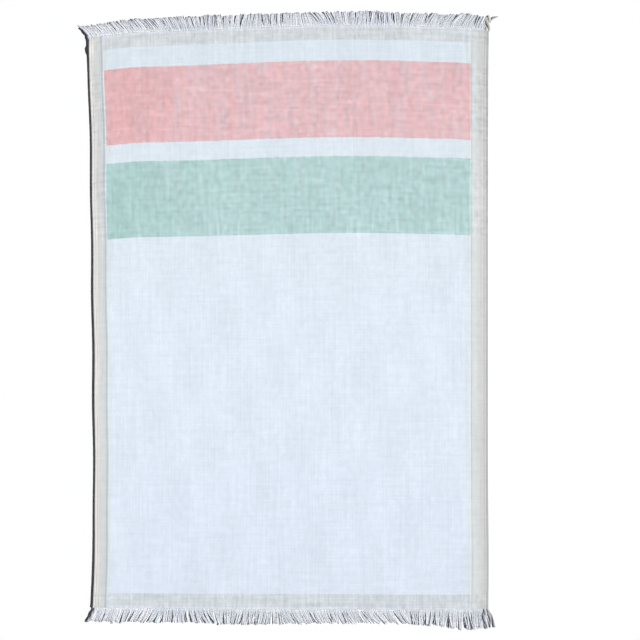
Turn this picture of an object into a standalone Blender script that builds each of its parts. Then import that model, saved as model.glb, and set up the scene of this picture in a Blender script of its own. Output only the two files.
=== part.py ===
"""Outdoor rug: a flat-woven cloth with corded selvedges, and loose warp ends as a fringe at both ends.

The rug lies face up on the floor at z = 0. +Y points to the striped end, +X to the right selvedge,
and the origin is under the middle of the whole rug, fringes included.
A place on the cloth is given by two shares: across, from -0.5 at the left selvedge to 0.5 at the
right one, and along, from -0.5 at the plain end to 0.5 at the striped end.
"""

import math
from typing import NamedTuple

import bmesh
import bpy
import numpy as np

# Sizes of the cloth, in metres
CLOTH_WIDTH = 1.200
CLOTH_LENGTH = 1.773
CLOTH_THICKNESS = 0.0032
CLOTH_MIDDLE_X = 0.0063
CLOTH_MIDDLE_Y = 0.0050

# Selvedge: thick warp cords side by side, standing above the cloth
CORDS_PER_SELVEDGE = 3
CORD_WIDTH = 0.0076
CORD_CREST = 0.0008
CORD_VALLEY = 0.0003
CORD_POINTS = 4
SELVEDGE_EDGE_DROP = 0.0014

# The thin line where each side border is woven to the field
JOIN_FROM_LEFT = 0.0395
JOIN_FROM_RIGHT = 0.0530
JOIN_WIDTH = 0.0036
JOIN_DEPTH = 0.0006

# The left edge isn't quite straight: short ripples on top of its bow
RIPPLE = 0.0011
RIPPLE_LENGTHS = 5.3

PANEL_ROWS = 23
FIELD_COLUMNS = 14

# Fringe: strands in pairs, fused to a strip that is the last of the woven cloth
STRIP_WIDTH = 0.0060
PIECE_GAP = 0.0003
STRAND_PAIRS = 70
PAIR_OPENING = 0.0070
TIP_OPENING = 0.0054
PAIR_SWAY = 0.0030
STRAND_SWAY = 0.0005
CURL = 0.0016
LENGTH_UNEVENNESS = 0.07
LEAN_BEND = 1.35
FRINGE_SEED = 41


class SideStation(NamedTuple):
    """How far each selvedge lies outside its straight line, in mm, at one place along the cloth."""

    along: float
    left_out: float
    right_out: float


class EndStation(NamedTuple):
    """Both ends at one place across: how far the last weft lies outside its straight line, in mm,
    and the fringe's length in mm and its lean to the right in degrees."""

    across: float
    striped_out: float
    striped_fringe: float
    striped_lean: float
    plain_out: float
    plain_fringe: float
    plain_lean: float


class StrandSection(NamedTuple):
    """A strand's width in mm at one share of its length from root to tip."""

    share: float
    width: float


SIDES = (
    SideStation(along=-0.50, left_out=5.0, right_out=1.5),
    SideStation(along=-0.44, left_out=1.0, right_out=2.6),
    SideStation(along=-0.29, left_out=-1.4, right_out=0.9),
    SideStation(along=-0.14, left_out=-0.6, right_out=0.6),
    SideStation(along=0.03, left_out=2.2, right_out=0.6),
    SideStation(along=0.20, left_out=6.5, right_out=0.6),
    SideStation(along=0.34, left_out=9.5, right_out=1.0),
    SideStation(along=0.44, left_out=15.5, right_out=1.6),
    SideStation(along=0.50, left_out=17.5, right_out=3.0),
)

ENDS = (
    EndStation(-0.50, -33.0, 45.0, -41.0, -5.0, 46.0, -32.0),
    EndStation(-0.45, -25.0, 47.0, -37.0, -4.0, 47.5, -20.0),
    EndStation(-0.40, -17.5, 47.0, -34.0, -3.5, 47.0, -16.0),
    EndStation(-0.30, -13.0, 47.0, -26.0, -2.5, 45.5, -8.0),
    EndStation(-0.13, -4.0, 43.0, -4.0, 0.5, 46.5, -2.0),
    EndStation(0.07, 5.5, 42.5, 2.0, 0.0, 45.5, 0.0),
    EndStation(0.20, 6.6, 45.0, 6.0, 1.0, 45.5, 2.0),
    EndStation(0.35, 2.0, 45.0, 18.0, 2.0, 49.5, 4.0),
    EndStation(0.45, -3.0, 49.0, 29.0, 2.0, 61.0, 8.0),
    EndStation(0.50, -11.0, 51.0, 34.0, -2.0, 66.0, 26.0),
)

STRAND = (
    StrandSection(share=0.00, width=5.4),
    StrandSection(share=0.36, width=5.2),
    StrandSection(share=0.72, width=4.6),
    StrandSection(share=1.00, width=3.2),
)


class Finish(NamedTuple):
    """A material's colour, as red, green and blue from 0 to 1, and how matt it is."""

    red: float
    green: float
    blue: float
    roughness: float


CLOTH_FINISH = Finish(red=0.73, green=0.79, blue=0.90, roughness=0.85)
YARN_FINISH = Finish(red=0.66, green=0.67, blue=0.74, roughness=0.88)


def clear_scene():
    """Removes the objects that the scene starts with."""
    for item in list(bpy.data.objects):
        bpy.data.objects.remove(item, do_unlink=True)


def column(stations, name):
    """One named column of a table of stations."""
    return np.array([getattr(station, name) for station in stations])


def smooth_through(places, values, at):
    """Reads the smooth curve through the stations at any places: a cubic between each two."""
    slopes = np.gradient(values, places)
    first = np.clip(np.searchsorted(places, at) - 1, 0, len(places) - 2)
    span = places[first + 1] - places[first]
    share = (at - places[first]) / span
    rise = share**2 * (3 - 2 * share)
    leaving = share * (1 - share) ** 2 * span * slopes[first]
    arriving = share**2 * (share - 1) * span * slopes[first + 1]
    return values[first] + rise * (values[first + 1] - values[first]) + leaving + arriving


def side_out(along, name):
    """How far a selvedge lies outside its straight line, in metres."""
    return smooth_through(column(SIDES, "along"), column(SIDES, name), along) / 1000


def end_value(across, name):
    """One column of the table of ends, read at any place across the cloth."""
    return smooth_through(column(ENDS, "across"), column(ENDS, name), across)


def left_edge(along):
    """The left selvedge's x before the cloth is put in its place."""
    ripple = RIPPLE * np.sin(2 * math.pi * RIPPLE_LENGTHS * along) * np.cos(math.pi * along)
    return -CLOTH_WIDTH / 2 - side_out(along, "left_out") - ripple


def right_edge(along):
    """The right selvedge's x before the cloth is put in its place."""
    return CLOTH_WIDTH / 2 + side_out(along, "right_out")


def last_weft(across, end):
    """The y of the last weft: end is 1 for the striped end and -1 for the plain one."""
    name = "striped_out" if end > 0 else "plain_out"
    return end * (CLOTH_LENGTH / 2 + end_value(across, name) / 1000)


def on_cloth(across, along, kept_back=0.0):
    """A place on the cloth, in metres: kept_back is what is left out at each end."""
    left = left_edge(along)
    x = left + (across + 0.5) * (right_edge(along) - left)
    plain = last_weft(across, -1) + kept_back
    striped = last_weft(across, 1) - kept_back
    y = plain + (along + 0.5) * (striped - plain)
    return x + CLOTH_MIDDLE_X, y + CLOTH_MIDDLE_Y


def panel_columns():
    """Distances from the left selvedge, with the height of the cloth's face at each."""
    spots = []
    for point in range(CORDS_PER_SELVEDGE * CORD_POINTS):
        swell = math.sin(math.pi * (point % CORD_POINTS) / CORD_POINTS)
        height = CLOTH_THICKNESS - CORD_VALLEY + (CORD_CREST + CORD_VALLEY) * swell
        spots.append((point * CORD_WIDTH / CORD_POINTS, height))
    spots[0] = (0.0, CLOTH_THICKNESS - SELVEDGE_EDGE_DROP)
    mirrored = [(CLOTH_WIDTH - distance, height) for distance, height in spots]
    band = CORDS_PER_SELVEDGE * CORD_WIDTH
    edges = [(band, CLOTH_THICKNESS), (CLOTH_WIDTH - band, CLOTH_THICKNESS)]
    joins = (JOIN_FROM_LEFT, CLOTH_WIDTH - JOIN_FROM_RIGHT)
    for join in joins:
        edges.append((join, CLOTH_THICKNESS - JOIN_DEPTH))
        edges += [(join + side * JOIN_WIDTH / 2, CLOTH_THICKNESS) for side in (-1, 1)]
    field = np.linspace(joins[0], joins[1], FIELD_COLUMNS + 2)[1:-1]
    edges += [(float(distance), CLOTH_THICKNESS) for distance in field]
    return sorted(spots + mirrored + edges)


def build_panel():
    """The cloth: a grid laid over its outline and raised to its face, then drawn down to the floor."""
    columns = panel_columns()
    mesh = bmesh.new()
    bmesh.ops.create_grid(mesh, x_segments=len(columns) - 1, y_segments=PANEL_ROWS, size=0.5)
    for vertex in mesh.verts:
        number = round((vertex.co.x + 0.5) * (len(columns) - 1))
        distance, height = columns[number]
        across = distance / CLOTH_WIDTH - 0.5
        x, y = on_cloth(across, vertex.co.y, STRIP_WIDTH + PIECE_GAP)
        vertex.co = (x, y, height)
    drawn = bmesh.ops.extrude_face_region(mesh, geom=list(mesh.faces))
    for item in drawn["geom"]:
        if isinstance(item, bmesh.types.BMVert):
            item.co.z = 0.0
    bmesh.ops.recalc_face_normals(mesh, faces=list(mesh.faces))
    data = bpy.data.meshes.new("woven_panel")
    mesh.to_mesh(data)
    mesh.free()
    return bpy.data.objects.new("woven_panel", data)


def strand_roots():
    """The place across of each strand's root: two strands to a pair, nearer each other than the next pair."""
    pairs = (np.arange(STRAND_PAIRS) + 0.5) / STRAND_PAIRS - 0.5
    apart = PAIR_OPENING / 2 / CLOTH_WIDTH
    return np.stack([pairs - apart, pairs + apart], axis=1).ravel()


def strand_sides(end):
    """Each strand's outline: places from its root up the left side to the tip and down the right one.

    The result has a row for each strand, a place for each section and side, and then x and y.
    """
    chance = np.random.default_rng(FRINGE_SEED + end)
    name = "striped" if end > 0 else "plain"
    across = strand_roots()
    count = len(across)
    inward = np.tile([1.0, -1.0], STRAND_PAIRS) * (PAIR_OPENING - TIP_OPENING) / 2
    sway = np.repeat(chance.uniform(-PAIR_SWAY, PAIR_SWAY, STRAND_PAIRS), 2)
    sway += chance.uniform(-STRAND_SWAY, STRAND_SWAY, count) + inward
    curl = np.repeat(chance.uniform(-CURL, CURL, STRAND_PAIRS), 2)
    uneven = 1 + chance.uniform(-LENGTH_UNEVENNESS, LENGTH_UNEVENNESS, count)
    length = end_value(across, f"{name}_fringe") / 1000 * uneven
    lean = np.radians(end_value(across, f"{name}_lean"))
    root_x, root_y = on_cloth(across, np.full(count, end / 2))
    share = column(STRAND, "share")
    half = column(STRAND, "width") / 2000
    aside = (length * np.sin(lean) + sway)[:, None] * share**LEAN_BEND
    aside += curl[:, None] * np.sin(math.pi * share)
    x = root_x[:, None] + aside
    y = root_y[:, None] + end * (length * np.cos(lean))[:, None] * share
    turn = np.arctan2(np.gradient(x, axis=1), end * np.gradient(y, axis=1))
    turn[:, 0] = 0.0
    wide = half * np.cos(turn)
    deep = end * half * np.sin(turn)
    left = np.stack([x - wide, y + deep], axis=2)
    right = np.stack([x + wide, y - deep], axis=2)
    return np.concatenate([left, right[:, ::-1]], axis=1)


def build_fringe(name, end):
    """One fringe: a flat outline like a comb, its back the strip and its teeth the strands."""
    teeth = strand_sides(end).reshape(-1, 2)
    strip = np.array([distance / CLOTH_WIDTH - 0.5 for distance, _ in reversed(panel_columns())])
    corner_x, corner_y = on_cloth(np.array([-0.5, 0.5]), np.full(2, end / 2))
    back_x, back_y = on_cloth(strip, np.full(len(strip), end / 2), STRIP_WIDTH)
    outline = np.concatenate(
        [
            [[corner_x[0], corner_y[0]]],
            teeth,
            [[corner_x[1], corner_y[1]]],
            np.stack([back_x, back_y], axis=1),
        ]
    )
    curve = bpy.data.curves.new(name, "CURVE")
    curve.dimensions = "2D"
    curve.fill_mode = "BOTH"
    curve.extrude = CLOTH_THICKNESS / 2
    spline = curve.splines.new("POLY")
    spline.points.add(len(outline) - 1)
    spline.use_cyclic_u = True
    for point, (x, y) in zip(spline.points, outline):
        point.co = (x, y, 0.0, 1.0)
    fringe = bpy.data.objects.new(name, curve)
    fringe.location.z = CLOTH_THICKNESS / 2
    return fringe


def finished(item, finish):
    """Gives the object a material of its own."""
    material = bpy.data.materials.new(item.name)
    material.use_nodes = True
    shader = material.node_tree.nodes["Principled BSDF"]
    shader.inputs["Base Color"].default_value = (finish.red, finish.green, finish.blue, 1.0)
    shader.inputs["Roughness"].default_value = finish.roughness
    shader.inputs["Metallic"].default_value = 0.0
    item.data.materials.append(material)
    return item


def main():
    """Builds the rug in a collection of its own."""
    clear_scene()
    rug = bpy.data.collections.new("outdoor_rug")
    bpy.context.scene.collection.children.link(rug)
    rug.objects.link(finished(build_panel(), CLOTH_FINISH))
    rug.objects.link(finished(build_fringe("striped_end_fringe", 1), YARN_FINISH))
    rug.objects.link(finished(build_fringe("plain_end_fringe", -1), YARN_FINISH))


main()
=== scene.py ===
import logging
import math
from dataclasses import dataclass
from enum import Enum
from typing import Any, NamedTuple

import bpy
import numpy as np
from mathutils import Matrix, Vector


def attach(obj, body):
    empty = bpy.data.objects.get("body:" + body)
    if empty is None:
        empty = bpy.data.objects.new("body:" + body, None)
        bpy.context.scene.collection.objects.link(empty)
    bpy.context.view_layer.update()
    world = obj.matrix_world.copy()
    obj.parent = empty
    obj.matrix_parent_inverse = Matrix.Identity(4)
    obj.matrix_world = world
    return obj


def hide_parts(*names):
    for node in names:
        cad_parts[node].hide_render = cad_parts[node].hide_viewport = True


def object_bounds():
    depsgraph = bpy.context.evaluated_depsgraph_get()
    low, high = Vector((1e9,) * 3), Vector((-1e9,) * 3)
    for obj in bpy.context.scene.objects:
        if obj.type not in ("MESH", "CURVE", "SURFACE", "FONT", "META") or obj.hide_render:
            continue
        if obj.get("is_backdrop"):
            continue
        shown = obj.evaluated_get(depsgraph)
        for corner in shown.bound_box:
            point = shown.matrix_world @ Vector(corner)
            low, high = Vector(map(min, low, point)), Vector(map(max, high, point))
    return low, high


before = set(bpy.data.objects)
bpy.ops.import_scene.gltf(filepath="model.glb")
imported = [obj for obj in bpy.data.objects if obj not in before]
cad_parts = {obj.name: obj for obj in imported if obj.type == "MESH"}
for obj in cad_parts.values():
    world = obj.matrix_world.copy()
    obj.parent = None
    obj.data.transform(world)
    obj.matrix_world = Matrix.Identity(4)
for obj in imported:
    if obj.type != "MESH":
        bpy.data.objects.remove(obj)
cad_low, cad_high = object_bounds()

# Names and small types

LOG = logging.getLogger("outdoor_rug")
THREAD_MAP = "ClothThreads"
YARN_MAP = "YarnTurns"
BAKE_MAP = "OFBake"
TONE = "yarn_tone"
# Painted shade on each yarn's cut end and painted light on its root.
END_SHADING = "yarn_end_shading"
Array = np.ndarray
Piece = bpy.types.Object
Tree = bpy.types.NodeTree
Socket = bpy.types.NodeSocket
MATH = "ShaderNodeMath"
RANGE = "ShaderNodeMapRange"
VECTOR = "ShaderNodeVectorMath"
MIX = "ShaderNodeMix"
# A mix of colours takes them at its inputs 6 and 7, and its result is output 2.
COLOURS = {"out": 2, "data_type": "RGBA"}


class RugEnd(Enum):
    """The two ends of the rug, by the way each one points along Y."""

    STRIPED = 1
    PLAIN = -1


class SideStation(NamedTuple):
    """How far both selvedges stand outside a plain rectangle at one place, in millimetres.

    The left one is also lifted a little from the floor.
    """

    along: float
    left_out: float
    right_out: float
    left_lift: float


class EndStation(NamedTuple):
    """Where both last wefts lie and how far both fringes fall past them, in millimetres."""

    across: float
    striped_out: float
    striped_fringe: float
    plain_out: float
    plain_fringe: float


class Lean(NamedTuple):
    """How far the fringe leans to the right, in degrees, at a place from the middle in millimetres."""

    place: float
    degrees: float


class Parting(NamedTuple):
    """A wedge between two tufts of the fringe: its place and its width at the tips, in millimetres."""

    place: float
    width: float


class Shade(NamedTuple):
    """A colour at a distance from an edge, in millimetres."""

    distance: float
    colour: str


class PathPoint(NamedTuple):
    """A point of a cord's middle line and the cord's reach there, in millimetres."""

    x: float
    y: float
    height: float
    reach: float


def table(kind: type, *rows: tuple) -> tuple:
    """Turns rows of plain values into one station, shade or point each."""
    return tuple(kind(*row) for row in rows)


# The outline, repeated from the solids

SIDES = table(
    SideStation,
    (-0.50, 5.0, 1.5, 0.9), (-0.44, 1.0, 2.6, 0.8), (-0.29, -1.4, 0.9, 0.1),
    (-0.14, -0.6, 0.6, 0.6), (0.03, 2.2, 0.6, 0.5), (0.20, 6.5, 0.6, 0.0), (0.34, 9.5, 1.0, 0.0),
    (0.44, 15.5, 1.6, 0.0), (0.50, 17.5, 3.0, 1.4),
)

ENDS = table(
    EndStation,
    (-0.50, -33.0, 35.5, -5.0, 40.5), (-0.45, -25.0, 35.0, -4.0, 44.6),
    (-0.40, -17.5, 37.0, -3.5, 43.2), (-0.30, -13.0, 43.0, -2.5, 42.8),
    (-0.13, -4.0, 42.6, 0.5, 46.4), (0.07, 5.5, 39.3, 0.0, 43.6), (0.20, 6.6, 42.5, 1.0, 42.4),
    (0.35, 2.0, 39.8, 2.0, 47.0), (0.45, -3.0, 42.0, 2.0, 58.8), (0.50, -11.0, 41.0, -2.0, 58.5),
)

# How the fringe falls, as measured on the real rug

STRIPED_LEANS = table(
    Lean,
    (-612, -44), (-560, -40), (-454, -36), (-393, -35), (-347, -28), (-307, -13), (-271, -3),
    (-204, -3), (-164, 11), (-119, 8), (-73, -3), (3, 0), (49, -14), (89, -30), (134, -26),
    (174, -4), (207, 8), (253, 7), (287, -7), (350, 10), (381, 24), (430, 24), (497, 36),
    (539, 27), (575, 22), (606, 8),
)

PLAIN_LEANS = table(
    Lean,
    (-612, -38), (-575, -24), (-514, -16), (-438, -28), (-393, -22), (-350, 0), (-301, 15),
    (-262, 28), (-225, 8), (-180, -5), (-119, -11), (-58, -8), (-15, 24), (64, 24), (140, 22),
    (192, 29), (247, 37), (299, 32), (338, 36), (378, 8), (417, 0), (491, 0), (533, 8), (576, 0),
    (606, 22),
)

STRIPED_PARTINGS = table(
    Parting,
    (-505, 8), (-448, 7), (-420, 8), (-393, 9), (-341, 8), (-321, 14), (-291, 14), (-274, 7),
    (-248, 7), (-202, 8), (-167, 7), (-141, 12), (-61, 7), (72, 9), (98, 8), (128, 16), (181, 13),
    (203, 13), (245, 9), (265, 8), (283, 14), (343, 12), (381, 9), (430, 13), (481, 9), (515, 13),
    (544, 12), (582, 9),
)

PLAIN_PARTINGS = table(
    Parting,
    (-518, 7), (-438, 7), (-414, 9), (-393, 13), (-355, 14), (-295, 9), (-259, 18), (-228, 13),
    (-199, 8), (-148, 13), (-129, 13), (-111, 14), (-12, 12), (28, 7), (79, 8), (134, 9),
    (192, 14), (253, 16), (344, 13), (378, 17), (411, 7), (440, 18), (457, 8), (483, 21),
    (535, 16), (556, 14), (576, 7),
)


# Small tools


def linear(code: str) -> tuple[float, float, float, float]:
    """Turns an sRGB hex colour into the linear colour that a socket takes.

    Args:
        code: six hex digits, two each for red, green and blue.

    Returns:
        Red, green, blue and a full alpha.
    """
    parts = np.array([int(code[at : at + 2], 16) for at in (0, 2, 4)]) / 255
    curved = ((parts + 0.055) / 1.055) ** 2.4
    return (*np.where(parts <= 0.04045, parts / 12.92, curved).tolist(), 1.0)


def add(
    tree: Tree,
    kind: str,
    inputs: dict[Any, Any] | None = None,
    out: int | str = 0,
    **settings: Any,
) -> Socket | None:
    """Adds one node, sets it, and links or fills its inputs.

    Args:
        tree: the node tree that the node goes into.
        kind: the node's type name.
        inputs: for each input's number or name, the socket to link to it or its own value.
        out: the number or name of the output that is wanted.
        settings: the node's own settings by name.

    Returns:
        The wanted output, or None for a node that has none.
    """
    node = tree.nodes.new(kind)
    for name, value in settings.items():
        setattr(node, name, value)
    for key, value in (inputs or {}).items():
        if isinstance(value, Socket):
            tree.links.new(value, node.inputs[key])
        else:
            node.inputs[key].default_value = value
    return node.outputs[out] if len(node.outputs) else None


def plus(tree: Tree, first: Socket | float, second: Socket | float) -> Socket:
    """Adds two numbers."""
    return add(tree, MATH, {0: first, 1: second}, operation="ADD")


def times(tree: Tree, first: Socket | float, second: Socket | float) -> Socket:
    """Multiplies two numbers."""
    return add(tree, MATH, {0: first, 1: second}, operation="MULTIPLY")


def humps(tree: Tree, distance: Socket, factor: float) -> Socket:
    """Gives the sine of a distance times a factor, without its sign."""
    for operation in ("MULTIPLY", "SINE", "ABSOLUTE"):
        distance = add(tree, MATH, {0: distance, 1: factor}, operation=operation)
    return distance


def step(tree: Tree, at: Socket, place: float, soft: float, down: bool = False) -> Socket:
    """Steps softly from 0 to 1 at one place, or down from 1 to 0."""
    limits = {0: at, 1: place - soft, 2: place + soft, 3: float(down), 4: float(not down)}
    return add(tree, RANGE, limits, interpolation_type="SMOOTHSTEP")


def start_material(name: str) -> bpy.types.Material:
    """Makes a material whose node tree is empty."""
    material = bpy.data.materials.new(name)
    material.use_nodes = True
    material.node_tree.nodes.clear()
    return material


def coat(tree: Tree, inputs: dict[str, Any]) -> None:
    """Adds the surface shader with its inputs, and the output."""
    shader = add(tree, "ShaderNodeBsdfPrincipled", inputs)
    add(tree, "ShaderNodeOutputMaterial", {"Surface": shader})


def smooth_through(places: Array, values: Array, at: Array) -> Array:
    """Reads a smooth line through stations, the same way as the solids.

    Between two stations the line is a cubic that leaves each with the mean slope there.

    Args:
        places: the stations' places, rising.
        values: the stations' values.
        at: where to read the line.

    Returns:
        The line's value at each place.
    """
    slopes = np.gradient(values, places)
    first = np.clip(np.searchsorted(places, at) - 1, 0, len(places) - 2)
    span = places[first + 1] - places[first]
    share = (at - places[first]) / span
    rise = share**2 * (3 - 2 * share)
    leaving = share * (1 - share) ** 2 * span * slopes[first]
    arriving = share**2 * (share - 1) * span * slopes[first + 1]
    return values[first] + rise * (values[first + 1] - values[first]) + leaving + arriving


def ease(low: float, high: float, at: Array) -> Array:
    """Rises smoothly from 0 at low to 1 at high."""
    share = np.clip((at - low) / (high - low), 0, 1)
    return share * share * (3 - 2 * share)


def column(stations: tuple, name: str) -> Array:
    """Gives one named value of every station."""
    return np.array([getattr(station, name) for station in stations])


def directions(lines: Array) -> tuple[Array, Array]:
    """Gives the direction along lines of points and the level direction across it.

    Args:
        lines: the points, with the steps along a line on the last axis but one.

    Returns:
        Both directions at every point, one unit long.
    """
    along = np.gradient(lines, axis=-2)
    along /= np.linalg.norm(along, axis=-1, keepdims=True)
    aside = np.cross(along, [0.0, 0.0, 1.0])
    aside /= np.linalg.norm(aside, axis=-1, keepdims=True)
    return along, aside


def put(name: str, data: bpy.types.ID) -> Piece:
    """Puts a mesh, a light or a camera into the scene as an object."""
    thing = bpy.data.objects.new(name, data)
    bpy.context.scene.collection.objects.link(thing)
    return thing


def make_piece(
    name: str,
    points: Array,
    faces: list[Array],
    maps: dict[str, Array],
) -> Piece:
    """Puts a mesh worked out as arrays into the scene.

    Args:
        name: the piece's name.
        points: its points, one row of x, y, z each, in metres.
        faces: arrays of corner numbers, each with faces of one corner count.
        maps: for each map's name, the place of every face corner in order.

    Returns:
        The new object, at the origin, unturned and unscaled.
    """
    mesh = bpy.data.meshes.new(name)
    corners = [face for group in faces for face in group.tolist()]
    mesh.from_pydata(points.tolist(), [], corners)
    for map_name, places in maps.items():
        layer = mesh.uv_layers.new(name=map_name)
        layer.uv.foreach_set("vector", places.astype(np.float32).ravel())
    mesh.shade_smooth()
    return put(name, mesh)


def grid_faces(numbers: Array, flip: bool = False) -> Array:
    """Gives the four-sided faces of a grid of point numbers.

    Args:
        numbers: the point numbers, rows along the first axis.
        flip: True turns the faces over.

    Returns:
        One row of four point numbers for each face.
    """
    here, right = numbers[:-1, :-1], numbers[:-1, 1:]
    up, far = numbers[1:, :-1], numbers[1:, 1:]
    order = (here, up, far, right) if flip else (here, right, far, up)
    return np.stack(order, axis=-1).reshape(-1, 4)


@dataclass(frozen=True)
class Tubes:
    """Many yarns of round or flattened section, each closed by a point at both ends.

    A point of a yarn is its middle line there, plus the reach times the cosine of the turn
    sideways, plus the reach times the sine of the turn and the flatness upwards.
    """

    lines: Array
    reach: Array
    sides: int = 6
    flatness: float = 1.0

    def points(self) -> Array:
        """Works out every ring and both end points of every yarn.

        Returns:
            The points of all yarns, ring after ring, then the two end points of each.
        """
        along, aside = directions(self.lines)
        up = np.cross(aside, along)
        turn = np.linspace(0, 2 * math.pi, self.sides, endpoint=False)[:, None]
        ring = np.cos(turn) * aside[:, :, None] + self.flatness * np.sin(turn) * up[:, :, None]
        rings = self.lines[:, :, None] + self.reach[:, :, None, None] * ring
        cap = 0.6 * self.reach[:, [0, -1], None] * along[:, [0, -1]] * [[-1.0], [1.0]]
        tips = self.lines[:, [0, -1]] + cap
        return np.concatenate([rings.reshape(-1, 3), tips.reshape(-1, 3)])

    def faces(self) -> list[Array]:
        """Joins the rings by four-sided faces and closes both ends by three-sided ones.

        Returns:
            The four-sided faces and the three-sided ones.
        """
        count, rings = self.reach.shape
        numbers = np.arange(count * rings * self.sides).reshape(count, rings, self.sides)
        onward = np.roll(numbers, -1, axis=2)
        walls = [numbers[:, :-1], numbers[:, 1:], onward[:, 1:], onward[:, :-1]]
        tips = numbers.size + np.arange(count * 2).reshape(count, 2)[:, :, None]
        tips = np.broadcast_to(tips, (count, 2, self.sides))
        first = np.stack([tips[:, 0], numbers[:, 0], onward[:, 0]], axis=-1)
        last = np.stack([tips[:, 1], onward[:, -1], numbers[:, -1]], axis=-1)
        quads = np.stack(walls, axis=-1).reshape(-1, 4)
        return [quads, np.concatenate([first.reshape(-1, 3), last.reshape(-1, 3)])]

    def places(self, across: int, layout: bool) -> Array:
        """Lays every yarn out flat, for the pattern's map or for the bake's.

        The pattern's map has the share of the turn round the yarn and the metres along it. The
        bake's map gives each yarn its own upright cell, so many cells side by side.

        Args:
            across: how many cells lie side by side.
            layout: True for the bake's map, and False for the pattern's.

        Returns:
            The place of every face corner, in the order of the faces.
        """
        count, rings = self.reach.shape
        steps = np.linalg.norm(np.diff(self.lines, axis=1), axis=2)
        run = np.concatenate([np.zeros((count, 1)), np.cumsum(steps, axis=1)], axis=1)
        share = run / run[:, -1:] if layout else run
        low = np.broadcast_to(share[:, :-1, None], (count, rings - 1, self.sides))
        high = np.broadcast_to(share[:, 1:, None], low.shape)
        near = np.broadcast_to(np.arange(self.sides) / self.sides, low.shape)
        far = near + 1 / self.sides
        walls = np.stack([near, low, near, high, far, high, far, low], axis=-1)
        turn, next_turn, middle = near[:, 0], far[:, 0], near[:, 0] + 0.5 / self.sides
        start, stop = low[:, 0], high[:, -1]
        before, after = start - 0.02, stop + 0.02
        first = np.stack([middle, before, turn, start, next_turn, start], axis=-1)
        last = np.stack([middle, after, next_turn, stop, turn, stop], axis=-1)
        groups = [walls.reshape(count, -1, 2), first.reshape(count, -1, 2), last.reshape(count, -1, 2)]
        if layout:
            down = math.ceil(count / across)
            cell = np.arange(count)
            corner = np.stack([cell % across, cell // across], axis=1)[:, None]
            groups = [
                (corner + [0.08, 0.05] + group * [0.84, 0.90]) / [across, down]
                for group in groups
            ]
        return np.concatenate([group.reshape(-1, 2) for group in groups])

    def make(self, name: str, across: int, tones: Array, cut_ends: Array) -> Piece:
        """Builds the yarns as one piece.

        Args:
            name: the piece's name.
            across: how many yarns lie side by side in the bake's map.
            tones: each yarn's own tone, from 0 to 1.
            cut_ends: painted shade on each yarn's cut end, from 0 to 1. Painted light pales its root a
                little.

        Returns:
            The new object.
        """
        maps = {YARN_MAP: self.places(across, False), BAKE_MAP: self.places(across, True)}
        piece = make_piece(name, self.points(), self.faces(), maps)
        count, rings = self.reach.shape
        # Painted shade darkens the last rings towards each cut end, and painted light pales the first
        # rings at the root.
        near_end = np.zeros((rings, self.sides))
        near_end[-4:] = [[0.08], [0.2], [0.45], [1.0]]
        dark = cut_ends[:, None, None] * near_end
        dark[:, :3] -= [[0.3], [0.3], [0.15]]
        tips = np.stack([np.zeros(count), cut_ends], axis=1)
        values = {
            TONE: np.concatenate([np.repeat(tones, rings * self.sides), np.repeat(tones, 2)]),
            END_SHADING: np.concatenate([dark.ravel(), tips.ravel()]),
        }
        for value_name, value in values.items():
            layer = piece.data.attributes.new(value_name, "FLOAT", "POINT")
            layer.data.foreach_set("value", value.astype(np.float32))
        return piece


# Finishes


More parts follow.
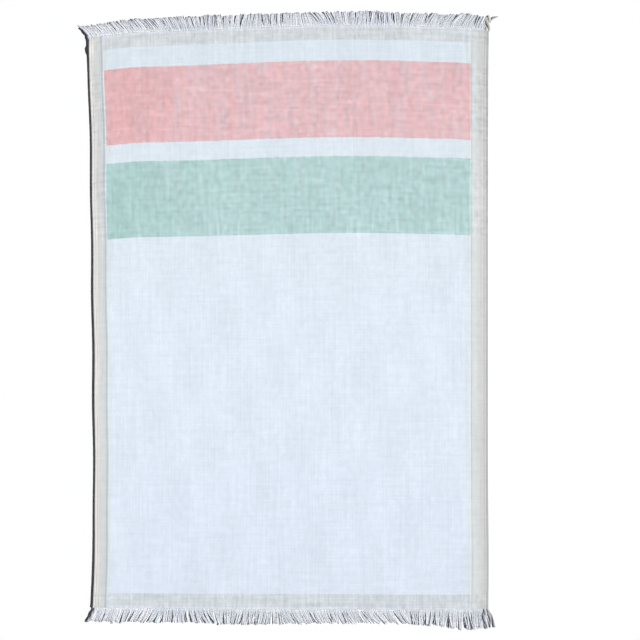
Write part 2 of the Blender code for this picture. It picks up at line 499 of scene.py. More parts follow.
@dataclass(frozen=True)
class WovenFinish:
    """Plain-woven cloth of spun outdoor yarn, unprinted and matt.

    The eye sees a pale blue-white ground with fine crossing threads, a greyer border, two stripes
    of dyed weft that let the pale warp through, and thick pale cords along both selvedges.
    """

    name: str = "plain_woven_outdoor_cloth"
    # Real threads lie 2.8 mm apart. They are drawn 4.4 mm apart, so that the weave shows.
    thread_mm: float = 4.4
    width_mm: float = 1200.0
    length_mm: float = 1773.0
    cord_mm: float = 7.6
    selvedge_mm: float = 22.8
    left_border_mm: float = 39.5
    right_border_mm: float = 54.0
    striped_border_mm: float = 44.0
    plain_border_mm: float = 46.5
    last_wefts_mm: float = 6.5
    soft_mm: float = 1.2
    pink_mm: tuple[float, float] = (107.0, 340.0)
    green_mm: tuple[float, float] = (397.5, 631.0)
    field: str = "dbe4f2"
    field_upper: str = "dae4ed"
    cream: str = "d8dddb"
    pink: str = "e1aeb0"
    green: str = "a6c9c5"
    striped_border: str = "d2d7db"
    plain_border: str = "d0d7dc"
    last_wefts: str = "d9dfe5"
    # Painted light makes the left border paler towards its selvedge, and painted shade makes the right
    # one darker towards its own.
    left_shades: tuple[Shade, ...] = table(
        Shade,
        (0.0, "dbdad9"), (8.0, "d9d8d6"), (19.0, "d2d2d0"), (29.0, "cdd1d1"), (35.0, "c7cdd0"),
        (38.2, "a5aeb6"), (41.2, "dae2e6"), (45.5, "dce5ec"),
    )
    right_shades: tuple[Shade, ...] = table(
        Shade,
        (0.0, "989898"), (3.5, "bababa"), (9.0, "c7c7c7"), (16.0, "cecece"), (26.0, "d3d4d4"),
        (40.0, "d6dad9"), (48.0, "d5dbde"), (53.0, "cdd7dc"),
    )

    def ramp(self, tree: Tree, distance: Socket, shades: tuple[Shade, ...]) -> Socket:
        """Colours the cloth by its distance from an edge.

        Args:
            tree: the material's node tree.
            distance: the distance from the edge, in millimetres.
            shades: the colours at their distances, rising.

        Returns:
            The colour's socket.
        """
        reach = shades[-1].distance
        share = add(tree, MATH, {0: distance, 1: reach}, operation="DIVIDE")
        colour = add(tree, "ShaderNodeValToRGB", {0: share})
        stops = colour.node.color_ramp.elements
        stops[1].position = 1.0
        for shade in shades[1:-1]:
            stops.new(shade.distance / reach)
        for stop, shade in zip(stops, shades):
            stop.color = linear(shade.colour)
        return colour

    def band(self, tree: Tree, at: Socket, start: float, stop: float) -> Socket:
        """Marks the cloth between two wefts.

        Args:
            tree: the material's node tree.
            at: the distance from the striped end, in millimetres.
            start: where the band starts, in millimetres.
            stop: where it stops, in millimetres.

        Returns:
            A socket that is 1 in the band and 0 outside it.
        """
        begun = step(tree, at, start, self.soft_mm)
        unfinished = step(tree, at, stop, self.soft_mm, down=True)
        return times(tree, begun, unfinished)

    def uneven(self, tree: Tree, place: Socket, value: Socket, *spots: tuple[float, ...]) -> Socket:
        """Lifts and lowers a value by soft random spots.

        Args:
            tree: the material's node tree.
            place: the place on the cloth, in millimetres.
            value: the value to change.
            spots: for each kind, its size across and along the rug in millimetres, its greatest lift
                or fall, and how many finer layers its noise has.

        Returns:
            The changed value.
        """
        for wide, long, amount, detail in spots:
            vector = add(tree, VECTOR, {0: place, 1: (1 / wide, 1 / long, 0.0)}, operation="MULTIPLY")
            noise = add(tree, "ShaderNodeTexNoise", {"Vector": vector, "Scale": 1.0, "Detail": detail})
            lift = add(tree, RANGE, {0: noise, 1: 0.25, 2: 0.75, 3: -amount, 4: amount})
            value = plus(tree, value, lift)
        return value

    def threads(self, tree: Tree, across: Socket, along: Socket) -> tuple[Socket, Socket, Socket]:
        """Weaves warp and weft over and under each other.

        The cloth is cut into square cells one thread wide. Where the cell's two numbers add up to an
        even number the warp lies on top, and elsewhere the weft. The thread on top is as high as
        half a sine wave across it, times a flatter half wave along it.

        Args:
            tree: the material's node tree.
            across: the distance from the left selvedge, in millimetres.
            along: the distance from the striped end, in millimetres.

        Returns:
            The height from 0 to 1, 1 where the weft is on top and 0 elsewhere, and a number of its
            own for each cell.
        """
        profiles = []
        numbers = []
        for distance in (across, along):
            cells = add(tree, MATH, {0: distance, 1: self.thread_mm}, operation="DIVIDE")
            part = add(tree, MATH, {0: cells}, operation="FRACT")
            profiles.append(humps(tree, part, math.pi))
            numbers.append(add(tree, MATH, {0: cells}, operation="FLOOR"))
        total = plus(tree, numbers[0], numbers[1])
        weft_up = add(tree, MATH, {0: total, 1: 2.0}, operation="FLOORED_MODULO")
        heights = []
        for over, under in (profiles, profiles[::-1]):
            flatter = add(tree, MATH, {0: under, 1: 0.55, 2: 0.45}, operation="MULTIPLY_ADD")
            heights.append(times(tree, over, flatter))
        height = add(tree, MIX, {0: weft_up, 2: heights[0], 3: heights[1]})
        cell = add(tree, "ShaderNodeCombineXYZ", {0: numbers[0], 1: numbers[1]})
        own = add(tree, "ShaderNodeTexWhiteNoise", {"Vector": cell}, noise_dimensions="2D")
        return height, weft_up, own

    def make(self) -> bpy.types.Material:
        """Builds the cloth's material.

        Returns:
            The material, which reads the cloth's own thread map.
        """
        material = start_material(self.name)
        tree = material.node_tree
        metres = add(tree, "ShaderNodeUVMap", uv_map=THREAD_MAP)
        place = add(tree, VECTOR, {0: metres, 1: (1000.0, 1000.0, 0.0)}, operation="MULTIPLY")
        across = add(tree, "ShaderNodeSeparateXYZ", {0: place}, out="X")
        along = across.node.outputs["Y"]
        from_right = add(tree, MATH, {0: self.width_mm, 1: across}, operation="SUBTRACT")

        # Threads wander a little, so that no row is ruled with a straight edge.
        moved_x = self.uneven(tree, place, across, (90, 240, 1.4, 1))
        moved_y = self.uneven(tree, place, along, (260, 90, 1.4, 1))
        height, weft_up, own = self.threads(tree, moved_x, moved_y)

        # A stripe's edge steps from weft to weft by a thread's width.
        edge = self.uneven(tree, place, along, (7, 600, 1.3, 1))
        upper = add(tree, RANGE, {0: along, 1: 300.0, 2: 1450.0, 3: 1.0, 4: 0.0})
        # The ground is less blue beside both joins and where creamier yarns run in.
        start, stop = self.right_border_mm, self.right_border_mm + 20.0
        inwards = plus(tree, across, start - self.left_border_mm)
        inwards = add(tree, MATH, {0: inwards, 1: from_right}, operation="MINIMUM")
        creamy = add(tree, RANGE, {0: inwards, 1: start, 2: stop, 3: 0.80, 4: 0.05})
        creamy = self.uneven(tree, place, creamy, (22, 34, 0.09, 1))
        layers = [(upper, linear(self.field_upper)), (creamy, linear(self.cream))]
        # The pale warp crosses the dyed weft, so that half of the thread crossings are paler. The
        # dye is a little stronger towards the left selvedge.
        show = add(tree, RANGE, {0: weft_up, 3: 0.74, 4: 0.98})
        fuller = add(tree, RANGE, {0: across, 1: 70.0, 2: 330.0, 3: 0.11, 4: -0.08})
        show = plus(tree, show, fuller)
        streaks = ((8, 170, 0.13, 1), (50, 9, 0.08, 1), (11, 14, 0.10, 1), (34, 260, 0.09, 1))
        show = self.uneven(tree, place, show, *streaks)
        rough_wefts = 0.0
        for span, dye in ((self.pink_mm, self.pink), (self.green_mm, self.green)):
            inside = self.band(tree, edge, *span)
            rough_wefts = plus(tree, rough_wefts, inside)
            layers.append((times(tree, inside, show), linear(dye)))
        # The plain border and the last wefts of both ends.
        plain = {0: upper, 6: linear(self.plain_border), 7: linear(self.striped_border)}
        plain = add(tree, MIX, plain, **COLOURS)
        rims = (
            (edge, self.striped_border_mm, self.plain_border_mm, plain),
            (along, self.last_wefts_mm, self.last_wefts_mm, linear(self.last_wefts)),
        )
        for at, first, last, shade in rims:
            inner = self.band(tree, at, first, self.length_mm - last)
            outer = add(tree, MATH, {0: 1.0, 1: inner}, operation="SUBTRACT")
            rough_wefts = plus(tree, rough_wefts, outer)
            layers.append((outer, shade))
        # The shades of both sides, from the selvedges to the joins: the borders' own grey, with
        # painted light on the left border and painted shade on the right one, each strongest at its
        # selvedge.
        sides = (
            (across, self.left_shades, self.left_border_mm + 5.0),
            (from_right, self.right_shades, self.right_border_mm),
        )
        for distance, shades, reach in sides:
            side = step(tree, distance, reach, 0.8, down=True)
            layers.append((side, self.ramp(tree, distance, shades)))
        # Each layer of colour lies over those before it.
        cloth = linear(self.field)
        for share, laid in layers:
            cloth = add(tree, MIX, {0: share, 6: cloth, 7: laid}, **COLOURS)

        # Selvedge cords, with painted shade in the groove where two of them meet.
        nearest = add(tree, MATH, {0: across, 1: from_right}, operation="MINIMUM")
        cord = humps(tree, nearest, math.pi / self.cord_mm)
        corded = step(tree, nearest, self.selvedge_mm, 1.0, down=True)
        painted_groove_shade = add(tree, RANGE, {0: cord, 1: 0.0, 2: 0.45, 3: -0.035, 4: 0.0})
        painted_groove_shade = times(tree, painted_groove_shade, corded)

        # The tone: painted shade in the gaps between threads, single threads, slubs, streaks and soft
        # mottling.
        painted_gap_shade = add(tree, RANGE, {0: height, 1: 0.0, 2: 0.8, 3: -0.035, 4: 0.010})
        single = add(tree, RANGE, {0: own, 3: -0.012, 4: 0.012})
        tone = plus(tree, plus(tree, painted_gap_shade, single), painted_groove_shade)
        slubs = ((8, 190, 0.034, 1), (120, 9, 0.026, 1), (16, 24, 0.034, 1), (60, 80, 0.012, 3))
        tone = self.uneven(tree, place, tone, *slubs)
        # Dyed wefts and the wefts of the end borders vary more than twice as much as the others.
        contrast = add(tree, RANGE, {0: rough_wefts, 3: 1.0, 4: 2.4})
        tone = plus(tree, times(tree, tone, contrast), 1.0)
        # The middle of the rug is a little paler than its ends.
        arch = humps(tree, along, math.pi / self.length_mm)
        arch = add(tree, RANGE, {0: arch, 3: 0.969, 4: 1.019})
        tone = times(tree, tone, arch)
        colour = add(tree, VECTOR, {0: cloth, "Scale": tone}, operation="SCALE")

        # The relief: threads over the cloth, and wefts wound round the selvedge cords.
        rows = humps(tree, moved_y, math.pi / self.thread_mm)
        winding = times(tree, rows, cord)
        relief = add(tree, MIX, {0: corded, 2: height, 3: winding})
        normal = add(tree, "ShaderNodeBump", {"Strength": 0.12, "Distance": 0.0008, "Height": relief})
        rough = add(tree, RANGE, {0: height, 3: 0.95, 4: 0.84})
        matt = {"Roughness": rough, "Specular IOR Level": 0.25}
        coat(tree, {"Base Color": colour, "Normal": normal, **matt})
        return material


@dataclass(frozen=True)
class YarnFinish:
    """Loose spun yarn of two twisted plies, matt and slightly hairy.

    The eye sees off-white and lavender-grey yarns side by side, no two quite alike, each with the
    slanting lines of its twist, painted shade in the hollows between the plies and on its sides.
    """

    name: str
    pale: str
    dark: str
    odd: str
    # Real plies turn once in 4 mm, which shows only close up.
    twist_mm: float = 4.0
    plies: float = 2.0
    relief_mm: float = 0.35
    # How pale the sides are beside the top: painted shade on the sides of each yarn.
    sides: float = 1.0

    def make(self) -> bpy.types.Material:
        """Builds the yarn's material.

        Returns:
            The material, which reads the yarn's own map and tone.
        """
        material = start_material(self.name)
        tree = material.node_tree
        place = add(tree, "ShaderNodeUVMap", uv_map=YARN_MAP)
        turn = add(tree, "ShaderNodeSeparateXYZ", {0: place}, out="X")
        run = turn.node.outputs["Y"]
        length = times(tree, run, 1000.0 / self.twist_mm)
        twist = add(tree, MATH, {0: turn, 1: self.plies, 2: length}, operation="MULTIPLY_ADD")
        ply = humps(tree, twist, math.pi)
        tone = add(tree, "ShaderNodeAttribute", out="Fac", attribute_name=TONE)
        colour = add(tree, MIX, {0: tone, 6: linear(self.pale), 7: linear(self.dark)}, **COLOURS)
        rare = add(tree, RANGE, {0: tone, 1: 0.88, 2: 0.92, 3: 0.0, 4: 0.6})
        odd = {0: rare, 6: colour, 7: linear(self.odd)}
        colour = add(tree, MIX, odd, **COLOURS)
        place = add(tree, "ShaderNodeTexCoord", out="Object")
        fibres = {"Vector": place, "Scale": 420.0, "Detail": 2.0}
        fibres = add(tree, "ShaderNodeTexNoise", fibres)
        # Painted shade: the hollows between the plies are darker.
        shade = add(tree, RANGE, {0: ply, 1: 0.0, 2: 0.6, 3: 0.90, 4: 1.03})
        uneven = add(tree, RANGE, {0: fibres, 1: 0.25, 2: 0.75, 3: 0.94, 4: 1.06})
        # Painted shade: each yarn's sides are darker than its top.
        painted_side_shade = add(tree, RANGE, {0: humps(tree, turn, 2 * math.pi), 3: self.sides, 4: 1.0})
        # Painted shade darkens a yarn's cut end, and painted light makes its root a little paler.
        cut = add(tree, "ShaderNodeAttribute", out="Fac", attribute_name=END_SHADING)
        darkened = add(tree, RANGE, {0: cut, 3: 1.0, 4: 0.62}, clamp=False)
        for factor in (uneven, painted_side_shade, darkened):
            shade = times(tree, shade, factor)
        colour = add(tree, VECTOR, {0: colour, "Scale": shade}, operation="SCALE")
        rise = add(tree, MATH, {0: fibres, 1: 0.25, 2: ply}, operation="MULTIPLY_ADD")
        normal = {"Strength": 0.8, "Distance": self.relief_mm / 1000, "Height": rise}
        normal = add(tree, "ShaderNodeBump", normal)
        matt = {"Roughness": 0.9, "Specular IOR Level": 0.2}
        hairy = {"Sheen Weight": 0.12, "Sheen Roughness": 0.5}
        coat(tree, {"Base Color": colour, "Normal": normal, **matt, **hairy})
        return material


# Sub-assemblies


@dataclass(frozen=True)
class RugPlan:
    """Where every thread of the cloth lies, seen from above, in metres."""

    width: float = 1.200
    length: float = 1.773
    thickness: float = 0.0032
    middle_x: float = 0.0063
    middle_y: float = 0.0050
    ripple: float = 0.0011
    ripple_lengths: float = 5.3
    lift_reach: float = 0.040
    kink_place: float = 0.4790
    kink_width: float = 0.0045
    kink_rise: float = 0.0034
    kink_reach: float = 0.012

    def lift(self, from_left: Array, along: Array) -> Array:
        """Gives how high the cloth is off the floor.

        It is the left edge's lift and a small kink, a bell along the edge, near the striped end.
        Each dies out inwards over its own reach.

        Args:
            from_left: distances from the left selvedge, in metres.
            along: shares of the length, from -0.5 to 0.5.

        Returns:
            The heights, in metres.
        """
        edge = np.maximum(self.side_value(along, "left_lift"), 0)
        edge = edge * np.exp(-((from_left / self.lift_reach) ** 2))
        kink = self.kink_rise * np.exp(-(((along - self.kink_place) / self.kink_width) ** 2))
        return edge + kink * np.exp(-((from_left / self.kink_reach) ** 2))

    def side_value(self, along: Array, name: str) -> Array:
        """Gives a named value of the sides, in metres."""
        return smooth_through(column(SIDES, "along"), column(SIDES, name), along) / 1000

    def end_value(self, across: Array, name: str) -> Array:
        """Gives a named value of the ends, in millimetres or degrees."""
        return smooth_through(column(ENDS, "across"), column(ENDS, name), across)

    def left_edge(self, along: Array) -> Array:
        """Gives the left selvedge, a smooth line with small ripples that die out at both ends."""
        waves = np.sin(2 * math.pi * self.ripple_lengths * along) * np.cos(math.pi * along)
        return -self.width / 2 - self.side_value(along, "left_out") - self.ripple * waves

    def right_edge(self, along: Array) -> Array:
        """Gives the right selvedge."""
        return self.width / 2 + self.side_value(along, "right_out")

    def last_weft(self, across: Array, end: RugEnd) -> Array:
        """Gives the last weft of one end."""
        out = self.end_value(across, f"{end.name.lower()}_out") / 1000
        return end.value * (self.length / 2 + out)

    def on_cloth(self, across: Array, along: Array) -> tuple[Array, Array]:
        """Finds places on the cloth from their shares of its width and length.

        Args:
            across: shares of the width, from -0.5 at the left to 0.5 at the right.
            along: shares of the length, from -0.5 at the plain end to 0.5 at the striped one.

        Returns:
            The places' x and y.
        """
        left = self.left_edge(along)
        x = left + (across + 0.5) * (self.right_edge(along) - left)
        plain = self.last_weft(across, RugEnd.PLAIN)
        striped = self.last_weft(across, RugEnd.STRIPED)
        y = plain + (along + 0.5) * (striped - plain)
        return x + self.middle_x, y + self.middle_y


@dataclass
class WovenCloth:
    """The whole woven cloth as one closed sheet, with its selvedge cords and join lines."""

    plan: RugPlan
    finish: WovenFinish
    cords: int = 3
    cord_width: float = 0.0076
    cord_rise: float = 0.0003
    cord_valley: float = 0.0001
    join_from_left: float = 0.0395
    join_from_right: float = 0.0530
    join_depth: float = 0.0002
    join_width: float = 0.0016
    edge_round: float = 0.0016
    heading_rise: float = 0.0004
    heading_width: float = 0.0045
    field_columns: int = 112
    field_rows: int = 164
    wave_rise: float = 0.00022
    plain_rim: float = 0.003
    least_step: float = 0.00008
    middle_share: float = 0.47

    def spots(self, length: float, count: int, fine: list[float]) -> Array:
        """Spreads grid lines over a length, close together at both edges.

        Args:
            length: the length, in metres.
            count: how many lines are spread evenly over it.
            fine: further distances from its start, in metres.

        Returns:
            The lines' distances from the start, rising.
        """
        turn = np.linspace(0, math.pi / 2, 5)
        round_edge = self.edge_round * (1 - np.cos(turn))
        even = np.linspace(0, length, count)
        even = even[(even > self.plain_rim) & (even < length - self.plain_rim)]
        every = np.concatenate([round_edge, length - round_edge, even, fine])
        every = np.unique(np.round(every, 6))
        return every[np.append(True, np.diff(every) > self.least_step)]

    def columns(self) -> Array:
        """Gives the grid's lines across the rug, twelve to a selvedge cord and seven to a join."""
        cords = np.arange(2, 12 * self.cords + 1) * self.cord_width / 12
        width = self.plan.width
        groove = np.array([-4.0, -2.0, -1.0, 0.0, 1.0, 2.0, 4.0]) / 1000
        joins = [self.join_from_left + groove, width - self.join_from_right + groove]
        return self.spots(width, self.field_columns, np.concatenate([cords, width - cords, *joins]))

    def rows(self) -> Array:
        """Gives the grid's lines along the rug, closer at the last wefts."""
        heading = np.array([2.5, 4.5, 6.5, 8.5, 11.0]) / 1000
        length = self.plan.length
        return self.spots(length, self.field_rows, np.concatenate([heading, length - heading]))

    def top(self, across: Array, along: Array) -> Array:
        """Gives the height of the cloth's face.

        It is the thickness, plus a flat-topped arch over each selvedge cord that is lower further
        in, less a narrow bell at each join, plus a low bell over the last wefts, plus three long
        slow waves.

        Args:
            across: distances from the left selvedge, in metres.
            along: distances from the plain end, in metres.

        Returns:
            The heights above the floor, in metres.
        """
        width, length = self.plan.width, self.plan.length
        side = np.minimum(across, width - across)
        arch = 1 - (1 - np.abs(np.sin(math.pi * side / self.cord_width))) ** 3
        band = self.cords * self.cord_width
        fade = 1 - 0.85 * ease(0.3 * band, 0.75 * band, side)
        cords = (self.cord_rise * arch - self.cord_valley) * fade * (side < band)
        left = np.exp(-(((across - self.join_from_left) / self.join_width) ** 2))
        right = np.exp(-(((width - across - self.join_from_right) / self.join_width) ** 2))
        end = np.minimum(along, length - along)
        heading = self.heading_rise * np.exp(-(((end - 0.0045) / self.heading_width) ** 2))
        slow = (
            np.sin(2 * math.pi * (2.6 * across + 1.1 * along) + 0.4)
            + np.sin(2 * math.pi * (-3.7 * across + 3.1 * along) + 1.9)
            + 0.7 * np.sin(2 * math.pi * (7.3 * across + 1.7 * along) + 4.0)
        )
        calm = ease(0.0, 0.06, side) * ease(0.0, 0.06, end)
        waves = self.wave_rise * slow * calm
        return self.plan.thickness + cords - self.join_depth * (left + right) + heading + waves

    def build(self) -> Piece:
        """Builds the sheet as two grids that share their rim.

        The face and the underside are the same grid of threads. Within a small distance of the rim
        both draw in to the middle of the thickness on a quarter circle, which rounds the edge. The
        left edge is lifted a little off the floor, less and less further in.

        Returns:
            The cloth's object.
        """
        plan = self.plan
        across, along = np.meshgrid(self.columns(), self.rows())
        x, y = plan.on_cloth(across / plan.width - 0.5, along / plan.length - 0.5)
        rim = np.minimum(
            np.minimum(across, plan.width - across), np.minimum(along, plan.length - along)
        )
        full = np.sqrt(1 - (1 - np.clip(rim / self.edge_round, 0, 1)) ** 2)
        middle = plan.thickness * self.middle_share
        top = middle + (self.top(across, along) - middle) * full
        under = middle * (1 - full)
        lift = plan.lift(across, along / plan.length - 0.5)
        face = np.stack([x, y, top + lift], axis=-1)
        below = np.stack([x, y, under + lift], axis=-1)
        rows, columns = across.shape
        numbers = np.arange(rows * columns).reshape(rows, columns)
        inner = np.arange((rows - 2) * (columns - 2)).reshape(rows - 2, columns - 2)
        beneath = numbers.copy()
        beneath[1:-1, 1:-1] = rows * columns + inner
        points = np.concatenate([face.reshape(-1, 3), below[1:-1, 1:-1].reshape(-1, 3)])
        faces = [grid_faces(numbers), grid_faces(beneath, flip=True)]
        threads = np.stack([across, plan.length - along], axis=-1)
        share = np.stack([across / plan.length, along / plan.length], axis=-1)
        # In the bake's map the underside lies beside the face, at a smaller scale.
        layouts = (0.004 + 0.992 * share, [0.685, 0.004] + 0.46 * share)
        corners = [grid_faces(numbers), grid_faces(numbers, flip=True)]
        thread_places = [threads.reshape(-1, 2)[corner.ravel()] for corner in corners]
        bake_places = [
            layout.reshape(-1, 2)[corner.ravel()] for layout, corner in zip(layouts, corners)
        ]
        maps = {THREAD_MAP: np.concatenate(thread_places), BAKE_MAP: np.concatenate(bake_places)}
        return make_piece("rug_cloth", points, faces, maps)

    def dress(self, piece: Piece) -> None:
        """Gives the cloth its finish and its place on the solids."""
        piece.data.materials.append(self.finish.make())
        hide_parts("woven_panel")
        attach(piece, "root")


@dataclass
class FringeEnd:
    """The warp ends left loose past the last weft of one end, as tufts of yarns side by side."""

    plan: RugPlan
    end: RugEnd
    finish: YarnFinish
    leans: tuple[Lean, ...]
    partings: tuple[Parting, ...]
    strands: int = 140
    bound_strands: int = 1
    yarns: int = 3
    unevenness: float = 0.06
    lean_bend: float = 1.35
    opening_bend: float = 2.0
    parting_reach: float = 0.012
    pile: float = 0.34
    pile_reach: float = 0.014
    sway: float = 0.0006
    gather: float = 0.00025
    curl: float = 0.0010
    crimp: float = 0.0003
    yarn_reach: float = 0.00140
    flatness: float = 0.45
    stations: int = 13
    length_jitter: tuple[float, float] = (-0.05, 0.03)
    root_jitter: float = 0.0005
    strand_degrees: float = 1.3
    yarn_degrees: float = 1.5
    reach_jitter: tuple[float, float] = (0.88, 1.14)
    crossing_share: float = 0.10
    crossing_rise: tuple[float, float] = (0.0010, 0.0022)
    tuft_strands: int = 5
    # Painted shade on piled yarns: from how high a pile, how much per metre of pile, and how dark at
    # most.
    shaded_pile: float = 0.0004
    pile_shade_per_metre: float = 250.0
    deepest_pile_shade: float = 0.87
    bake_cells_across: int = 60
    seed: int = 41

    def part(self, tips: Array) -> tuple[Array, Array]:
        """Pushes the yarns' tips away from the partings and piles them up beside them.

        A tip moves away from each parting by half of its width times a falling exponential of the
        distance. To the right of a parting the yarns lie on each other, as high as a share of the
        width times a steeper exponential, so that the wedge lies in their shadow.

        Args:
            tips: where the tips would lie without partings, in metres.

        Returns:
            How far each tip moves to the right and how high it is piled, in metres.
        """
        away = tips[..., None] - column(self.partings, "place") / 1000
        width = column(self.partings, "width") / 1000
        near = np.exp(-np.abs(away) / self.parting_reach)
        apart = (np.sign(away) * near * width / 2).sum(axis=-1)
        beside = np.exp(-np.maximum(away, 0) / self.pile_reach) * (away > 0)
        return apart, self.pile * (width * beside).sum(axis=-1)

    def build(self) -> Piece:
        """Builds every yarn of the fringe.

        The yarns leave the last weft evenly, one to a warp thread. A yarn's sideways place is its
        root's, plus its fall times the tangent of its lean times its share to a power, plus what the
        partings and its strand's sway move it times another power, plus a bow of half a sine and a
        small zigzag left by the weave. The last strands at the right are bound in the selvedge's
        tail, so they are left out.

        Returns:
            The fringe's object.
        """
        chance = np.random.default_rng(self.seed + 10 * self.end.value)
        name = self.end.name.lower()
        count = self.strands * self.yarns
        across = ((np.arange(count) + 0.5) / count - 0.5).reshape(self.strands, self.yarns)
        across = across[: self.strands - self.bound_strands]
        strand, yarn = (len(across), 1), across.shape
        uneven = 1 + chance.uniform(-self.unevenness, self.unevenness, strand)
        uneven = uneven + chance.uniform(*self.length_jitter, yarn)
        fall = self.plan.end_value(across, f"{name}_fringe") / 1000 * uneven
        root_x, root_y = self.plan.on_cloth(across, np.full(yarn, self.end.value / 2))
        root_x = root_x + chance.uniform(-self.root_jitter, self.root_jitter, yarn)
        places = column(self.leans, "place") / 1000
        lean = smooth_through(
            places, column(self.leans, "degrees"), np.clip(root_x, places[0], places[-1])
        )
        lean = lean + chance.normal(0, self.strand_degrees, strand)
        lean = np.radians(lean + chance.normal(0, self.yarn_degrees, yarn))
        apart, piled = self.part(root_x + fall * np.tan(lean))
        apart += chance.uniform(-self.sway, self.sway, strand)
        apart -= self.gather * (np.arange(self.yarns) - (self.yarns - 1) / 2)
        curl = chance.uniform(-self.curl, self.curl, strand) * np.ones(yarn)

        share = np.concatenate([[-0.12], np.linspace(0, 1, self.stations - 1)])
        at = np.clip(share, 0, 1)
        size = (*yarn, len(share))
        x = root_x[..., None] + (fall * np.tan(lean))[..., None] * at**self.lean_bend
        x = x + apart[..., None] * at**self.opening_bend
        x = x + curl[..., None] * np.sin(math.pi * at)
        x = x + self.crimp * chance.normal(0, 1, size) * ease(0.0, 0.15, at)
        y = root_y[..., None] + self.end.value * fall[..., None] * share
        fuller = 1 - 0.12 * at + 0.2 * (1 - ease(0.0, 0.35, at))
        reach = self.yarn_reach * fuller * chance.uniform(*self.reach_jitter, yarn)[..., None]
        reach[..., -1] *= 0.6
        over = chance.uniform(*self.crossing_rise, yarn)
        over = over * (chance.uniform(0, 1, yarn) < self.crossing_share)
        laid = self.flatness * reach + piled[..., None] * at**1.2
        laid = laid + over[..., None] * ease(0.1, 0.5, at)
        off_floor = self.plan.lift((across + 0.5) * self.plan.width, np.full(yarn, self.end.value / 2))
        level = (self.plan.thickness * 0.5 + off_floor)[..., None]
        height = level + (laid - level) * ease(0.0, 0.18, at)
        lines = np.stack([x, y, height], axis=-1).reshape(-1, len(share), 3)
        tufts = chance.uniform(0, 1, math.ceil(len(across) / self.tuft_strands))
        tufts = np.repeat(tufts, self.tuft_strands)[: len(across), None]
        tones = 0.3 * tufts + 0.35 * chance.uniform(0, 1, strand) + 0.35 * chance.uniform(0, 1, yarn)
        # Painted shade: yarns piled beside a parting are drawn darker, because their slope catches
        # more light.
        darkened = np.minimum(tones + self.pile_shade_per_metre * piled, self.deepest_pile_shade)
        tones = np.where(piled > self.shaded_pile, darkened, tones)
        cut_ends = chance.uniform(0.0, 1.0, yarn)
        tubes = Tubes(lines, reach.reshape(-1, len(share)), sides=6, flatness=self.flatness)
        name = f"{name}_end_yarns"
        return tubes.make(name, self.bake_cells_across, tones.ravel(), cut_ends.ravel())

    def dress(self, piece: Piece) -> None:
        """Gives the fringe its finish and its place on the solids."""
        piece.data.materials.append(self.finish.make())
        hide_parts(f"{self.end.name.lower()}_end_fringe")
        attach(piece, "root")


@dataclass
class SelvedgeTail:
    """The loose end of the thick selvedge cords at one corner."""

    name: str
    finish: YarnFinish
    path: tuple[PathPoint, ...]
    plies: int = 2
    turn_length: float = 0.046
    off_middle: float = 0.0036
    stations: int = 40
    flatness: float = 0.28
    # How much painted shade darkens the cut end of each ply.
    cut_end: float = 0.6

    def build(self) -> Piece:
        """Builds the plies of the cord, wound round its middle line.

        The middle line runs smoothly through the path's points. Each ply is off it by the cosine of
        its turn sideways and by the sine of its turn upwards, flattened as the cord lies.

        Returns:
            The tail's object.
        """
        shares = np.linspace(0, 1, len(self.path))
        at = np.linspace(0, 1, self.stations)
        path = [smooth_through(shares, column(self.path, key), at) for key in PathPoint._fields]
        *middle, reach = np.array(path) / 1000
        middle = np.stack(middle, axis=-1)
        steps = np.linalg.norm(np.diff(middle, axis=0), axis=1)
        run = np.append(0, np.cumsum(steps))
        aside = directions(middle)[1]
        start = np.arange(self.plies)[:, None] * 2 * math.pi / self.plies
        turn = start + 2 * math.pi * run / self.turn_length
        off = self.off_middle * reach / reach.max()
        sideways = (off * np.cos(turn))[:, :, None] * aside
        upward = (self.flatness * off * np.sin(turn))[:, :, None] * [0.0, 0.0, 1.0]
        lines = middle + sideways + upward
        reaches = np.repeat(reach[None], self.plies, axis=0)
        low = self.flatness * reaches
        lines[:, :, 2] = np.maximum(lines[:, :, 2], low)
        tubes = Tubes(lines, reaches, sides=12, flatness=self.flatness)
        tones = np.linspace(0.2, 0.6, self.plies)
        return tubes.make(self.name, self.plies, tones, np.full(self.plies, self.cut_end))

    def dress(self, piece: Piece) -> None:
        """Gives the tail its finish and its place on the solids."""
        piece.data.materials.append(self.finish.make())
        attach(piece, "root")


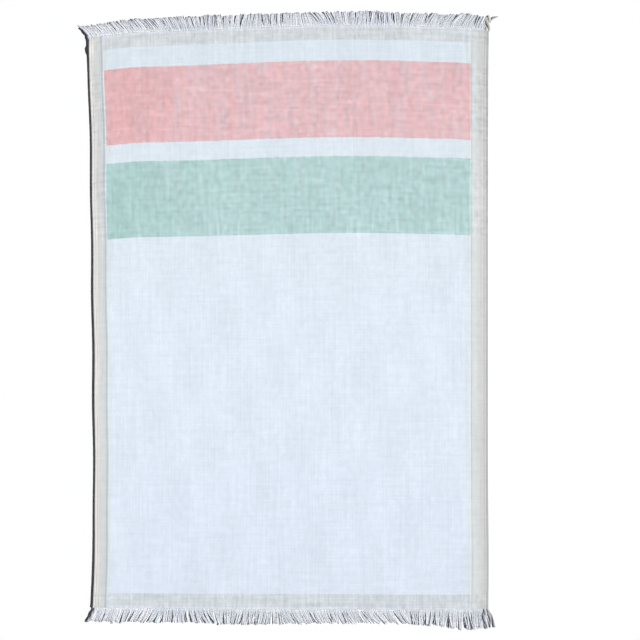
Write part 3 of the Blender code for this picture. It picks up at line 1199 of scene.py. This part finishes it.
@dataclass
class Studio:
    """A plain pale floor, one soft key light from the right, a pale room and the camera."""

    floor_reach: float = 60.0
    floor_drop: float = 0.0003
    sun_strength: float = 7.22
    sun_height: float = 26.0
    sun_turn: float = 0.0
    sun_softness: float = 4.0
    ceiling: float = 0.045
    walls: float = 0.9
    lens: float = 85.0
    picture_mm: float = 1949.4
    sight_x: float = 0.0940
    sight_y: float = -0.0005
    face_height: float = 0.0032

    def floor(self) -> Piece:
        """Builds the floor as one wide square a hair under the rug.

        Returns:
            The floor's object, marked as stage.
        """
        reach = self.floor_reach
        x, y = np.meshgrid([-reach, reach], [-reach, reach])
        points = np.stack([x, y, np.full_like(x, -self.floor_drop)], axis=-1).reshape(-1, 3)
        faces = [grid_faces(np.arange(4).reshape(2, 2))]
        piece = make_piece("studio_floor", points, faces, {})
        material = start_material("white_matt_studio_paint")
        paint = {"Base Color": linear("f8f8f9"), "Roughness": 0.9, "Specular IOR Level": 0.1}
        coat(material.node_tree, paint)
        piece.data.materials.append(material)
        piece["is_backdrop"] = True
        return piece

    def light(self) -> None:
        """Sets one soft light from the right and a pale room with a dim ceiling."""
        lamp = bpy.data.lights.new("key_light", "SUN")
        lamp.energy = self.sun_strength
        lamp.angle = math.radians(self.sun_softness)
        slope, turn = math.radians(90 - self.sun_height), math.radians(self.sun_turn)
        put("key_light", lamp).rotation_euler = (0.0, slope, turn)
        world = bpy.data.worlds.new("pale_room")
        world.use_nodes = True
        tree = world.node_tree
        tree.nodes.clear()
        way = add(tree, "ShaderNodeTexCoord", out="Generated")
        height = add(tree, "ShaderNodeSeparateXYZ", {0: way}, out="Z")
        fall = {0: height, 1: 0.05, 2: 0.22, 3: self.walls, 4: self.ceiling}
        level = add(tree, RANGE, fall, interpolation_type="SMOOTHSTEP")
        room = add(tree, "ShaderNodeBackground", {"Color": linear("f4f6ff"), "Strength": level})
        add(tree, "ShaderNodeOutputWorld", {"Surface": room})
        bpy.context.scene.world = world

    def camera(self) -> None:
        """Hangs the camera straight above the rug, as in the photograph."""
        data = bpy.data.cameras.new("camera")
        data.lens = self.lens
        data.sensor_width = 36.0
        data.clip_end = 200.0
        camera = put("camera", data)
        height = self.picture_mm / 1000 * self.lens / data.sensor_width
        camera.location = (self.sight_x, self.sight_y, height + self.face_height)
        bpy.context.scene.camera = camera
        bpy.context.scene.view_settings.view_transform = "Standard"


def main() -> None:
    """Builds every piece of the rug and its studio in order."""
    logging.basicConfig(level=logging.INFO, format="%(message)s")
    plan = RugPlan()
    spun = YarnFinish("spun_fringe_yarn", pale="eff1f5", dark="d1d6df", odd="e7dfdc", sides=0.6)
    beige = YarnFinish("twisted_selvedge_cord", pale="cbc5be", dark="a8a19b", odd="8f8882")
    grey = YarnFinish("washed_selvedge_cord", pale="b6b6ba", dark="8f8f94", odd="707075")
    darkened = YarnFinish("dusty_selvedge_cord", "bfbec8", "a09fab", "8e8c98", sides=0.75)
    shaded = YarnFinish("grey_green_yarn_end", pale="a0a7a3", dark="858d88", odd="858d88")
    fringes = (
        FringeEnd(plan, RugEnd.STRIPED, spun, STRIPED_LEANS, STRIPED_PARTINGS),
        FringeEnd(plan, RugEnd.PLAIN, spun, PLAIN_LEANS, PLAIN_PARTINGS),
    )
    # Each cord's name, finish and shape, and its path's x, y, height and reach in millimetres.
    cords = (
        (
            "striped_end_tail", beige,
            {"turn_length": 0.052, "off_middle": 0.0044, "flatness": 0.22, "cut_end": 0.2},
            (601.0, 861.0, 1.4, 3.6), (604.0, 879.0, 1.5, 4.3), (606.0, 896.0, 1.5, 4.4),
            (606.0, 912.0, 1.5, 4.4), (608.0, 926.5, 1.3, 3.0),
        ),
        (
            "striped_end_wisp", shaded, {"plies": 1, "off_middle": 0.0, "cut_end": 0.0},
            (612.0, 905.0, 1.2, 1.8), (616.0, 914.0, 1.3, 3.0), (622.0, 919.5, 1.3, 3.4),
            (630.0, 922.5, 1.2, 2.6), (637.0, 924.0, 1.0, 0.8),
        ),
        (
            "plain_end_tail", grey, {"turn_length": 0.070, "off_middle": 0.0034},
            (594.0, -866.0, 1.4, 3.6), (595.5, -888.0, 1.5, 4.0), (596.0, -908.0, 1.5, 4.0),
            (598.5, -924.0, 1.5, 3.6), (603.0, -940.0, 1.3, 2.6),
        ),
        (
            "plain_end_middle_tail", grey, {"turn_length": 0.060, "off_middle": 0.0016},
            (600.0, -866.0, 1.4, 2.6), (606.0, -888.0, 1.5, 3.2), (612.5, -907.0, 1.5, 2.9),
            (613.0, -921.0, 1.4, 2.3), (613.5, -936.0, 1.2, 1.6),
        ),
        (
            "plain_end_outer_tail", grey, {"turn_length": 0.060, "off_middle": 0.0008, "cut_end": 1.0},
            (602.0, -870.0, 1.4, 2.4), (610.0, -890.0, 1.5, 2.6), (619.0, -904.0, 1.4, 2.2),
            (622.5, -920.0, 1.3, 2.0), (626.0, -936.0, 1.3, 2.8),
        ),
        (
            "striped_end_left_tail", darkened, {"off_middle": 0.0014, "flatness": 0.8},
            (-604.5, 840.0, 2.2, 1.6), (-609.5, 856.0, 2.5, 2.3), (-615.5, 869.5, 2.5, 2.3),
            (-624.5, 880.5, 2.4, 2.1), (-635.0, 888.5, 2.2, 1.6),
        ),
        (
            "plain_end_left_tail", darkened, {"off_middle": 0.0016, "flatness": 0.36},
            (-589.0, -870.0, 2.2, 3.0), (-593.5, -885.0, 2.8, 4.2), (-600.0, -898.0, 2.8, 4.4),
            (-607.0, -910.0, 2.6, 4.0), (-615.0, -919.5, 2.2, 3.0),
        ),
    )
    tails = [
        SelvedgeTail(name, finish, table(PathPoint, *rows), **shape)
        for name, finish, shape, *rows in cords
    ]
    for part in (WovenCloth(plan, WovenFinish()), *fringes, *tails):
        piece = part.build()
        part.dress(piece)
        LOG.info("%s: %d faces", piece.name, len(piece.data.polygons))

    studio = Studio()
    for work in (studio.floor, studio.light, studio.camera):
        work()
        LOG.info("studio: %s", work.__name__)
    low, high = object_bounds()
    sizes = {"cad_low": list(cad_low), "cad_high": list(cad_high)}
    sizes |= {"visual_low": list(low), "visual_high": list(high)}


if __name__ == "__main__":
    main()
